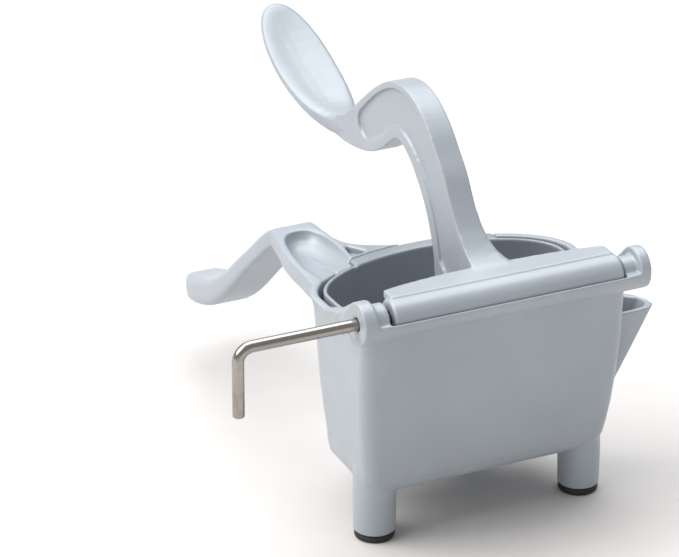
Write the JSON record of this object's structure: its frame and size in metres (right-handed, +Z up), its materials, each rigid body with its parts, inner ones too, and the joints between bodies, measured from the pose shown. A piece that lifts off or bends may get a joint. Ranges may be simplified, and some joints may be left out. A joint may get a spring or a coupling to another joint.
{
  "type": "lever press potato ricer",
  "caption": "Hand lever press on feet: D-shaped bowl with side spout and perforated basket, hinged arm with palm rest and level press plate, fixed lower handle, L-shaped hinge pin.",
  "frame": {"origin": "centre of the bounding box in plan, on the table under the feet", "axes": "+X to the right seen from the hinge side, towards the spout; +Y from the hinge towards the ends of both handles; +Z up"},
  "size_m": [0.201, 0.229, 0.1719],
  "materials": {
    "painted_casting": "satin",
    "painted_basket": "satin",
    "painted_lever": "satin",
    "painted_presser": "satin",
    "steel_rivet": "satin",
    "stainless_pin": "polished",
    "black_rubber": "matte"
  },
  "bodies": {
    "stand": {"bowl_body": "painted_casting", "foot_cap_front_left": "black_rubber", "foot_cap_front_right": "black_rubber", "foot_cap_rear_left": "black_rubber", "foot_cap_rear_right": "black_rubber"},
    "basket": {"strainer_basket": "painted_basket"},
    "lever": {"press_lever": "painted_lever", "plate_pivot_pin": "steel_rivet"},
    "presser": {"press_plate": "painted_presser"},
    "pin": {"hinge_pin": "stainless_pin"}
  },
  "joints": [
    {"name": "lever_hinge", "type": "hinge", "parent": "stand", "child": "lever", "pos_m": [0.0185, -0.10549, 0.1084], "axis": [1, 0, 0], "range_deg": [-4, 75]},
    {"name": "plate_pivot", "type": "hinge", "parent": "lever", "child": "presser", "pos_m": [0.0185, -0.06449, 0.0834], "axis": [1, 0, 0], "range_deg": [-75, 4]},
    {"name": "hinge_pin_slide", "type": "slide", "parent": "stand", "child": "pin", "axis": [1, 0, 0], "range_m": [-0.08, 0.045]},
    {"name": "basket_lift", "type": "slide", "parent": "stand", "child": "basket", "axis": [0, 0, 1], "range_m": [0, 0.004]}
  ],
  "couplings": [
    {"joint": "plate_pivot", "follows": "lever_hinge", "ratio": -1}
  ]
}
